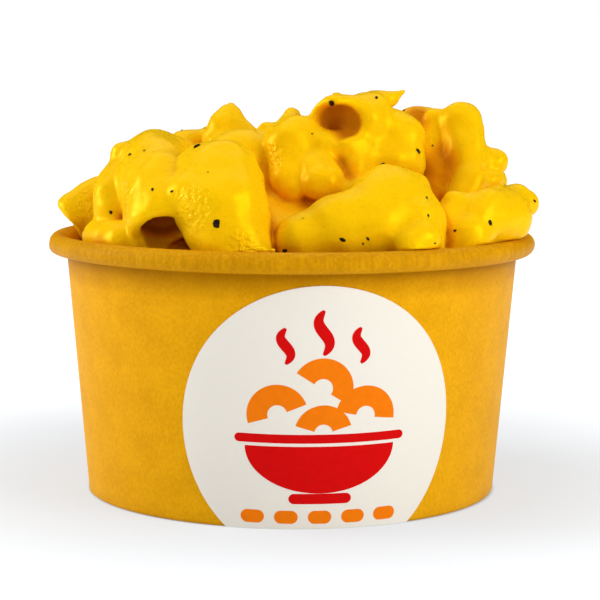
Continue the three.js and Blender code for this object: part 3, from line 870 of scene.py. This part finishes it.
# Pepper: where the line of sight from EYE to each fleck in front crosses the plane through the
# tub's axis, as x and z, and the fleck's length
EYE = (0, -393.35, 82.57)
FRONT_FLECKS = [
    (-18.5, 66.3, 1.5), (-31.7, 64.8, 0.9), (-23.2, 57.3, 0.8), (-27.3, 57.7, 0.8), (-15, 51.1, 1.7),
    (-35.1, 53.4, 0.8), (10, 48.5, 1.2), (14.9, 48.5, 0.9), (17.6, 62.7, 1.7), (7.4, 74.7, 1.5),
    (16.1, 75.5, 1.0), (24.4, 65.9, 1.3), (26.2, 53.1, 0.8), (38.3, 51.9, 1.2), (-28.8, 65.8, 0.6),
    (-1.6, 46.1, 1.2), (13.8, 47.7, 0.5), (2.1, 52.2, 0.4), (26.4, 56.4, 0.7), (28, 48, 0.6),
    (31.9, 50.5, 0.7), (3.5, 68.7, 0.5), (27.2, 66.9, 0.5), (46.8, 56.1, 0.8), (-16.2, 61.4, 0.4),
]
# The flecks behind fall straight down on the heap: how many, how far out, from what height, and
# their least and greatest length. Those that land nearer the front than BEHIND are left out.
TOP_FLECKS = 110
TOP_FLECK_REACH = 41
TOP_FLECK_START = 80.0
TOP_FLECK_SIZES = (0.35, 1.3)
BEHIND = 6.0
PEPPER_SEED = 11
SIGHT_START = 340.0
SIGHT_LENGTH = 90
SIGHT_STEP = 0.2
FLECK_RINGS = 4
FLECK_SIDES = 8


def fleck_places(random, field):
    """Where each fleck lies and its length: the first point of the heap on each line of sight from
    EYE, and on each line straight down from a random place over it."""
    eye = np.array(EYE)
    through = np.array([(x, 0, z) for x, z, _ in FRONT_FLECKS])
    starts = np.broadcast_to(eye, through.shape).copy()
    ways = through - eye
    sizes = [size for _, _, size in FRONT_FLECKS]
    out = TOP_FLECK_REACH * np.sqrt(random.uniform(0, 1, TOP_FLECKS))
    turn = random.uniform(0, 2 * np.pi, TOP_FLECKS)
    over = np.column_stack([out * np.cos(turn), out * np.sin(turn), np.full(TOP_FLECKS, TOP_FLECK_START)])
    starts = np.concatenate([starts, over])
    ways = np.concatenate([ways, np.tile([0, 0, -1.0], (TOP_FLECKS, 1))])
    sizes = np.array(sizes + list(random.uniform(*TOP_FLECK_SIZES, TOP_FLECKS)))
    ways /= np.linalg.norm(ways, axis=1, keepdims=True)
    in_front = np.arange(len(starts)) < len(FRONT_FLECKS)
    begin = np.where(in_front, SIGHT_START, 0.0)
    travel = begin[:, None] + np.arange(0, SIGHT_LENGTH, SIGHT_STEP)[None, :]
    path = starts[:, None, :] + ways[:, None, :] * travel[:, :, None]
    depth = field.at(path.reshape(-1, 3)).reshape(travel.shape)
    hit = np.argmax(depth < 0, axis=1)
    rows = np.arange(len(starts))
    keep = (depth[rows, hit] < 0) & ((path[rows, hit][:, 1] > BEHIND) | in_front)
    return path[rows, hit][keep], sizes[keep]


def fleck_shapes(field, surface, outwards):
    """Cracked pepper: at each fleck's place the nearest point of the surface gets a flat knobbly
    ball of two angles, each point's distance drawn at random, half sunk in it."""
    random = np.random.default_rng(PEPPER_SEED)
    place, sizes = fleck_places(random, field)
    nearest = [np.argmin(np.square(surface - spot).sum(1)) for spot in place]
    place = surface[nearest]
    normal = outwards[nearest]
    polar = np.linspace(0, np.pi, FLECK_RINGS + 2)[1:-1]
    around = np.linspace(0, 2 * np.pi, FLECK_SIDES, endpoint=False)
    ball = np.stack([np.outer(np.sin(polar), np.cos(around)), np.outer(np.sin(polar), np.sin(around)),
                     np.outer(np.cos(polar), np.ones(FLECK_SIDES))], -1).reshape(-1, 3)
    first = np.arange(FLECK_SIDES)
    after = np.roll(first, -1)
    last_ring = (FLECK_RINGS - 1) * FLECK_SIDES
    top = np.full(FLECK_SIDES, len(ball))
    caps = np.concatenate([np.stack([first, after, top], 1),
                           np.stack([after + last_ring, first + last_ring, top + 1], 1)])
    rings = grid_faces(FLECK_RINGS, FLECK_SIDES, close_columns=True)
    parts = []
    for centre, up, size in zip(place, normal, sizes):
        aside = np.cross(up, random.normal(size=3))
        aside /= np.linalg.norm(aside)
        rough = 1 + random.uniform(-0.28, 0.22, (len(ball) + 2, 1))
        shape = np.concatenate([ball, [[0, 0, 1], [0, 0, -1]]]) * rough
        shape *= size / 2 * np.array([1.0, random.uniform(0.5, 0.85), random.uniform(0.35, 0.5)])
        points = centre + shape @ np.stack([aside, np.cross(up, aside), up])
        parts.append(points)
    starts = np.arange(len(parts)) * (len(ball) + 2)
    quads = np.concatenate([rings + start for start in starts])
    return np.concatenate(parts), quads, np.concatenate([caps + start for start in starts])


# Materials: a noise's scale is the number of its features in a metre

# The table's painted glow, dimmed round the tub as a painted shadow: where it is least, from how near to
# how far it rises, and both strengths; its colour, tinted cool against the warm light thrown from the tub;
# and the radii inside which it is gone under the foot as a painted shadow, and outside which it is whole
GLOW_CENTRE = (0, 0.015, 0)
GLOW_INNER = 0.045
GLOW_OUTER = 0.14
NEAR_GLOW = 0.62
FAR_GLOW = 0.97
GLOW_COLOUR = (0.94, 0.97, 1.0, 1)
PAINTED_SHADOW_UNDER_FOOT = FOOT_RADIUS * MM - 0.0012
CLEAR_OF_FOOT = FOOT_RADIUS * MM + 0.0006

# The board's highlights and the sauce's are tinted as if they came through its colour
KRAFT_GLINT = (1.0, 0.8, 0.1, 1)
SAUCE_GLINT = (1.0, 0.8, 0.02, 1)

# The sauce's colour from open to closed in, with painted shade deepening it to orange and brown
SAUCE_AND_PAINTED_SHADE_TONES = [(0.0, (0.97, 0.57, 0.002)), (0.24, (0.96, 0.54, 0.002)), (0.42, (0.84, 0.36, 0.002)),
               (0.62, (0.56, 0.18, 0.002)), (0.80, (0.40, 0.10, 0.002)), (1.0, (0.20, 0.05, 0.002))]

# The rolled rim: its share of the tub's height, and the tones of its fine upright creases
RIM_FROM = 0.925
RIM_FULL = 0.94
CREASE_TONES = [(0.4, (0.88, 0.85, 0.80)), (0.6, (1, 1, 1))]


def new_material(name):
    """A material with its shader and a helper that adds and links nodes."""
    material = bpy.data.materials.new(name)
    material.use_nodes = True
    nodes = material.node_tree.nodes
    links = material.node_tree.links
    shader = nodes["Principled BSDF"]

    def add(kind, inputs=(), **settings):
        node = nodes.new(kind)
        for key, value in settings.items():
            setattr(node, key, value)
        for key, value in dict(inputs).items():
            if isinstance(value, bpy.types.NodeSocket):
                links.new(value, node.inputs[key])
            else:
                node.inputs[key].default_value = value
        return node

    return material, shader, add, links


def noise(add, place, scale, detail=3.0, roughness=0.55):
    """Noise with features of about 1 / scale metres."""
    inputs = {"Vector": place, "Scale": scale, "Detail": detail, "Roughness": roughness}
    return add("ShaderNodeTexNoise", inputs)


def ramp(add, value, stops):
    """A colour ramp from (place, colour) stops."""
    node = add("ShaderNodeValToRGB", {"Fac": value})
    elements = node.color_ramp.elements
    while len(elements) < len(stops):
        elements.new(0.5)
    for element, (place, colour) in zip(elements, stops):
        element.position = place
        element.color = (*colour, 1)
    return node


# Shade painted on the board by height: a dark band just under the rolled rim and a darker roll, and
# slightly darker at the foot: share of the tub's height, and tone
PAINTED_SHADE_BY_HEIGHT = [(0.0, (0.9, 0.88, 0.85)), (0.05, (1, 1, 1)), (0.82, (1, 1, 1)),
                 (0.915, (0.58, 0.52, 0.45)), (0.93, (0.80, 0.78, 0.74)), (1.0, (0.84, 0.83, 0.80))]


def kraft_material(name, dark, light, bump):
    """Golden kraft board: a fine fibre mottle over slow drifts of tone, with shade painted under and on
    the rolled rim and slightly darker at the foot, with fine upright creases on the rolled rim and a soft
    satin."""
    material, shader, add, links = new_material(name)
    place = add("ShaderNodeTexCoord").outputs["Object"]
    squeezed = add("ShaderNodeMapping", {"Vector": place, "Scale": (1, 1, 0.75)}).outputs[0]
    fibre = noise(add, squeezed, 2000, 5, 0.75)
    drift = noise(add, place, 170, 2)
    slow = add("ShaderNodeMath", {0: drift.outputs["Fac"], 1: 0.4}, operation="MULTIPLY")
    mixed = add("ShaderNodeMath", {0: fibre.outputs["Fac"], 1: slow.outputs[0]}, operation="ADD")
    colour = ramp(add, mixed.outputs[0], [(0.56, dark), (0.84, light)])
    height = add("ShaderNodeSeparateXYZ", {"Vector": place}).outputs["Z"]
    level = add("ShaderNodeMapRange", {"Value": height, "From Max": TUB_HEIGHT * MM})
    # Painted shade under the rolled rim and on it, and slightly darker at the foot
    shade_by_height = ramp(add, level.outputs[0], PAINTED_SHADE_BY_HEIGHT)
    toned = add("ShaderNodeMix", {0: 1.0, 6: colour.outputs["Color"], 7: shade_by_height.outputs["Color"]},
                data_type="RGBA", blend_type="MULTIPLY")
    upright = add("ShaderNodeMapping", {"Vector": place, "Scale": (1, 1, 0.12)}).outputs[0]
    creases = ramp(add, noise(add, upright, 1500, 2).outputs["Fac"], CREASE_TONES)
    on_rim = add("ShaderNodeMapRange", {"Value": level.outputs[0], "From Min": RIM_FROM,
                                        "From Max": RIM_FULL})
    rolled = add("ShaderNodeMix", {0: on_rim.outputs[0], 6: toned.outputs[2], 7: creases.outputs["Color"]},
                 data_type="RGBA", blend_type="MULTIPLY")
    links.new(rolled.outputs[2], shader.inputs["Base Color"])
    shader.inputs["Roughness"].default_value = 0.5
    shader.inputs["Specular IOR Level"].default_value = 0.05
    shader.inputs["Specular Tint"].default_value = KRAFT_GLINT
    relief = add("ShaderNodeBump", {"Height": fibre.outputs["Fac"], "Strength": bump, "Distance": 0.0001})
    links.new(relief.outputs[0], shader.inputs["Normal"])
    return material


def paper_material():
    """Smooth off-white sticker paper, with the faintest tooth."""
    material, shader, add, links = new_material("sticker_paper")
    place = add("ShaderNodeTexCoord").outputs["Object"]
    tooth = noise(add, place, 900, 3)
    colour = ramp(add, tooth.outputs["Fac"], [(0.3, (0.865, 0.815, 0.735)), (0.7, (0.875, 0.825, 0.745))])
    links.new(colour.outputs["Color"], shader.inputs["Base Color"])
    shader.inputs["Roughness"].default_value = 0.5
    shader.inputs["Specular IOR Level"].default_value = 0.2
    relief = add("ShaderNodeBump", {"Height": tooth.outputs["Fac"], "Strength": 0.08, "Distance": 0.0001})
    links.new(relief.outputs[0], shader.inputs["Normal"])
    return material


def ink_material(name, colour):
    """Flat printing ink, a little uneven."""
    material, shader, add, links = new_material(name)
    place = add("ShaderNodeTexCoord").outputs["Object"]
    uneven = noise(add, place, 600, 2)
    tone = ramp(add, uneven.outputs["Fac"], [(0.3, tuple(0.93 * c for c in colour)), (0.7, colour)])
    links.new(tone.outputs["Color"], shader.inputs["Base Color"])
    shader.inputs["Roughness"].default_value = 0.45
    shader.inputs["Specular IOR Level"].default_value = 0.02
    return material


def sauce_material():
    """Wet cheese sauce over soft pasta: clear yellow where it is open, with painted shade that turns it
    orange and brown where pieces meet, in the painted shade spots and inside open ends, lit a little from
    within. Where it is wet it is glossier and finely pitted."""
    material, shader, add, links = new_material("cheese_sauce")
    place = add("ShaderNodeTexCoord").outputs["Object"]
    # The painted shade stored on the mesh: darker in crevices, in the shade spots and inside open ends
    painted_shade = add("ShaderNodeAttribute", attribute_name="painted_shade").outputs["Fac"]
    drift = noise(add, place, 170, 3)
    small = noise(add, place, 900, 3, 0.6)
    uneven = add("ShaderNodeMath", {0: drift.outputs["Fac"], 1: 0.26}, operation="MULTIPLY")
    sum_up = add("ShaderNodeMath", {0: painted_shade, 1: uneven.outputs[0]}, operation="ADD")
    tone = ramp(add, sum_up.outputs[0], SAUCE_AND_PAINTED_SHADE_TONES)
    links.new(tone.outputs["Color"], shader.inputs["Base Color"])
    shader.inputs["Subsurface Weight"].default_value = 0.35
    shader.inputs["Subsurface Radius"].default_value = (1.0, 0.75, 0.08)
    shader.inputs["Subsurface Scale"].default_value = 0.0016
    wet = add("ShaderNodeAttribute", attribute_name="wet").outputs["Fac"]
    gloss = add("ShaderNodeMapRange", {"Value": small.outputs["Fac"], "From Min": 0.35, "From Max": 0.65,
                                       "To Min": 0.24, "To Max": 0.38})
    less = add("ShaderNodeMath", {0: wet, 1: 0.2}, operation="MULTIPLY")
    rough = add("ShaderNodeMath", {0: gloss.outputs[0], 1: less.outputs[0]}, operation="SUBTRACT")
    links.new(rough.outputs[0], shader.inputs["Roughness"])
    shader.inputs["Metallic"].default_value = 0.08
    shader.inputs["Specular IOR Level"].default_value = 0.06
    shader.inputs["Specular Tint"].default_value = SAUCE_GLINT
    pits = noise(add, place, 1150, 2, 0.4)
    film = add("ShaderNodeMapRange", {"Value": wet, "To Min": 0.02, "To Max": 0.9})
    fine = add("ShaderNodeBump", {"Height": pits.outputs["Fac"], "Strength": film.outputs[0],
                                  "Distance": 0.0008})
    soft = add("ShaderNodeBump", {"Height": small.outputs["Fac"], "Strength": 0.12, "Distance": 0.0004,
                                  "Normal": fine.outputs[0]})
    links.new(soft.outputs[0], shader.inputs["Normal"])
    return material


def pepper_material():
    """Cracked black pepper, from near black to dark brown."""
    material, shader, add, links = new_material("cracked_pepper")
    place = add("ShaderNodeTexCoord").outputs["Object"]
    grain = noise(add, place, 700, 2)
    tone = ramp(add, grain.outputs["Fac"], [(0.35, (0.006, 0.003, 0.001)), (0.75, (0.06, 0.025, 0.004))])
    links.new(tone.outputs["Color"], shader.inputs["Base Color"])
    shader.inputs["Roughness"].default_value = 0.6
    shader.inputs["Specular IOR Level"].default_value = 0.08
    return material


def painted_glow_table_material():
    """A white table with a painted glow that stands in for light from below: the glow is dimmed close
    to the tub as a painted shadow, by the distance from a point behind the tub's axis, is gone under the
    foot as a painted shadow, and the table takes only a soft part of each real shadow."""
    material, shader, add, links = new_material("table_painted_glow_and_shadow")
    place = add("ShaderNodeTexCoord").outputs["Object"]
    cloud = noise(add, place, 3, 2)
    tone = ramp(add, cloud.outputs["Fac"], [(0.3, (0.245, 0.245, 0.245)), (0.7, (0.25, 0.25, 0.25))])
    links.new(tone.outputs["Color"], shader.inputs["Base Color"])
    shader.inputs["Roughness"].default_value = 1.0
    shader.inputs["Specular IOR Level"].default_value = 0.0
    # Painted shadow: the glow falls near the tub and is gone under the foot
    away = add("ShaderNodeVectorMath", {0: place, 1: GLOW_CENTRE}, operation="DISTANCE")
    rise = {"Value": away.outputs["Value"], "From Min": GLOW_INNER, "From Max": GLOW_OUTER,
            "To Min": NEAR_GLOW, "To Max": FAR_GLOW}
    glow = add("ShaderNodeMapRange", rise, interpolation_type="SMOOTHSTEP")
    from_axis = add("ShaderNodeVectorMath", {0: place}, operation="LENGTH")
    clear = add("ShaderNodeMapRange", {"Value": from_axis.outputs["Value"], "From Min": PAINTED_SHADOW_UNDER_FOOT,
                                       "From Max": CLEAR_OF_FOOT})
    seen = add("ShaderNodeMath", {0: glow.outputs[0], 1: clear.outputs[0]}, operation="MULTIPLY")
    shader.inputs["Emission Color"].default_value = GLOW_COLOUR
    links.new(seen.outputs[0], shader.inputs["Emission Strength"])
    return material


# Pieces

kraft = kraft_material("kraft_board", (0.74, 0.33, 0.003), (0.88, 0.42, 0.005), 0.25)
wall_points, wall_faces = tub_wall_shape()
tub_wall = put_mesh("paper_wall", wall_points, [wall_faces], kraft)
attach(tub_wall, "root")
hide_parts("tub_wall")

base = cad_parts["tub_base"]
base.data.materials.clear()
base.data.materials.append(kraft_material("kraft_base_board", (0.50, 0.28, 0.05), (0.64, 0.38, 0.08), 0.3))

sticker = put_mesh("round_sticker", label_shape()[0], [label_shape()[1]], paper_material(), smooth=False)
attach(sticker, "root")
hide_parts("label")

for print_name, shapes, ink in (
    ("red_print", RED_PRINT, ink_material("red_ink", (0.70, 0.004, 0.004))),
    ("orange_print", ORANGE_PRINT, ink_material("orange_ink", (0.95, 0.21, 0.004))),
):
    print_points, print_faces = joined(shapes)
    printed = put_mesh(print_name, print_points, [print_faces], ink, smooth=False)
    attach(printed, "root")

heap = heap_field()
net_points, net_faces = surface_of(heap)
net_points = smoothed(net_points, net_faces, 1)
way_out = normals_of(net_points, net_faces)
# Shade painted into the sauce's colour: darker where it is closed in, in the shade spots and inside open
# ends
painted_shade = sauce_painted_shade(heap, net_points, way_out)
wet = in_wet_spots(net_points)
net_points = net_points + way_out * sauce_relief(net_points, wet)[:, None]
net_points[:, 2] = np.minimum(net_points[:, 2], HEAP_TOP)
heap_points, heap_quads, heap_fan = skirt(net_points, net_faces)
macaroni = put_mesh("sauced_macaroni", heap_points, [heap_quads, heap_fan], sauce_material())
hidden = len(heap_points) - len(net_points)
# The hidden skirt takes the full painted shade and no wet film
for attribute, seen, unseen in (("painted_shade", painted_shade, np.ones(hidden)), ("wet", wet, np.zeros(hidden))):
    values = np.concatenate([seen, unseen]).astype(np.float32)
    macaroni.data.attributes.new(attribute, "FLOAT", "POINT").data.foreach_set("value", values)
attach(macaroni, "root")
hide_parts("macaroni_heap")

fleck_points, fleck_quads, fleck_caps = fleck_shapes(heap, net_points, way_out)
pepper = put_mesh("pepper_flecks", fleck_points, [fleck_quads, fleck_caps], pepper_material(), smooth=False)
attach(pepper, "root")
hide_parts("macaroni_heap")

# Floor: one wide sheet under the tub
FLOOR_REACH = 30000.0
floor_points = np.array([(x, y, 0) for x in (-1, 1) for y in (-1, 1)]) * FLOOR_REACH
floor = put_mesh("studio_floor", floor_points, [np.array([[0, 2, 3, 1]])], painted_glow_table_material())


# Light and camera

def area_light(name, place, aim, size, watts, colour=(1, 1, 1)):
    """A square soft box at a place, facing a point, both in metres."""
    lamp = bpy.data.lights.new(name, "AREA")
    lamp.size = size
    lamp.energy = watts
    lamp.color = colour
    holder = bpy.data.objects.new(name, lamp)
    way = Matrix.Translation(place).to_translation() - Matrix.Translation(aim).to_translation()
    holder.rotation_euler = way.to_track_quat("Z", "Y").to_euler()
    holder.location = place
    bpy.context.scene.collection.objects.link(holder)


area_light("left_box", (-0.93, 0.10, 0.40), (0, 0, 0.05), 0.5, 6.6)
area_light("front_box", (0.0, -0.69, 0.75), (0, 0, 0.05), 0.9, 2.5, (1, 0.99, 0.93))
area_light("right_box", (0.76, -0.50, 0.42), (0, 0, 0.05), 0.5, 5.0, (1, 0.985, 0.93))

overhead = bpy.data.objects.new("overhead_silk", bpy.data.lights.new("overhead_silk", "SUN"))
overhead.data.energy = 1.5
overhead.data.angle = radians(80)
overhead.rotation_euler = (radians(-12), 0, 0)
bpy.context.scene.collection.objects.link(overhead)

# The air: a white room to the eye, which itself gives only a little light
AIR_LIGHT = 0.02
world = bpy.data.worlds.new("studio_air")
world.use_nodes = True
air = world.node_tree
strength = air.nodes.new("ShaderNodeMix")
air.links.new(air.nodes.new("ShaderNodeLightPath").outputs["Is Camera Ray"], strength.inputs[0])
strength.inputs[2].default_value = AIR_LIGHT
strength.inputs[3].default_value = 1.0
air.links.new(strength.outputs[0], air.nodes["Background"].inputs["Strength"])
air.nodes["Background"].inputs["Color"].default_value = (1, 1, 1, 1)
bpy.context.scene.world = world
bpy.context.scene.view_settings.view_transform = "Standard"

CAMERA_PLACE = (0, EYE[1] * MM, EYE[2] * MM)
CAMERA_PITCH = 0.11665
CAMERA_ROLL = 0.004686
CAMERA_LENS = 121.5
CAMERA_SENSOR = 36
CAMERA_SHIFT = 0.01357
camera = bpy.data.objects.new("camera", bpy.data.cameras.new("camera"))
camera.data.lens = CAMERA_LENS
camera.data.sensor_width = CAMERA_SENSOR
camera.data.shift_x = CAMERA_SHIFT
camera.data.clip_start = 0.01
tilt = Matrix.Rotation(np.pi / 2 - CAMERA_PITCH, 4, "X") @ Matrix.Rotation(CAMERA_ROLL, 4, "Z")
camera.matrix_world = Matrix.Translation(CAMERA_PLACE) @ tilt
bpy.context.scene.collection.objects.link(camera)
bpy.context.scene.camera = camera
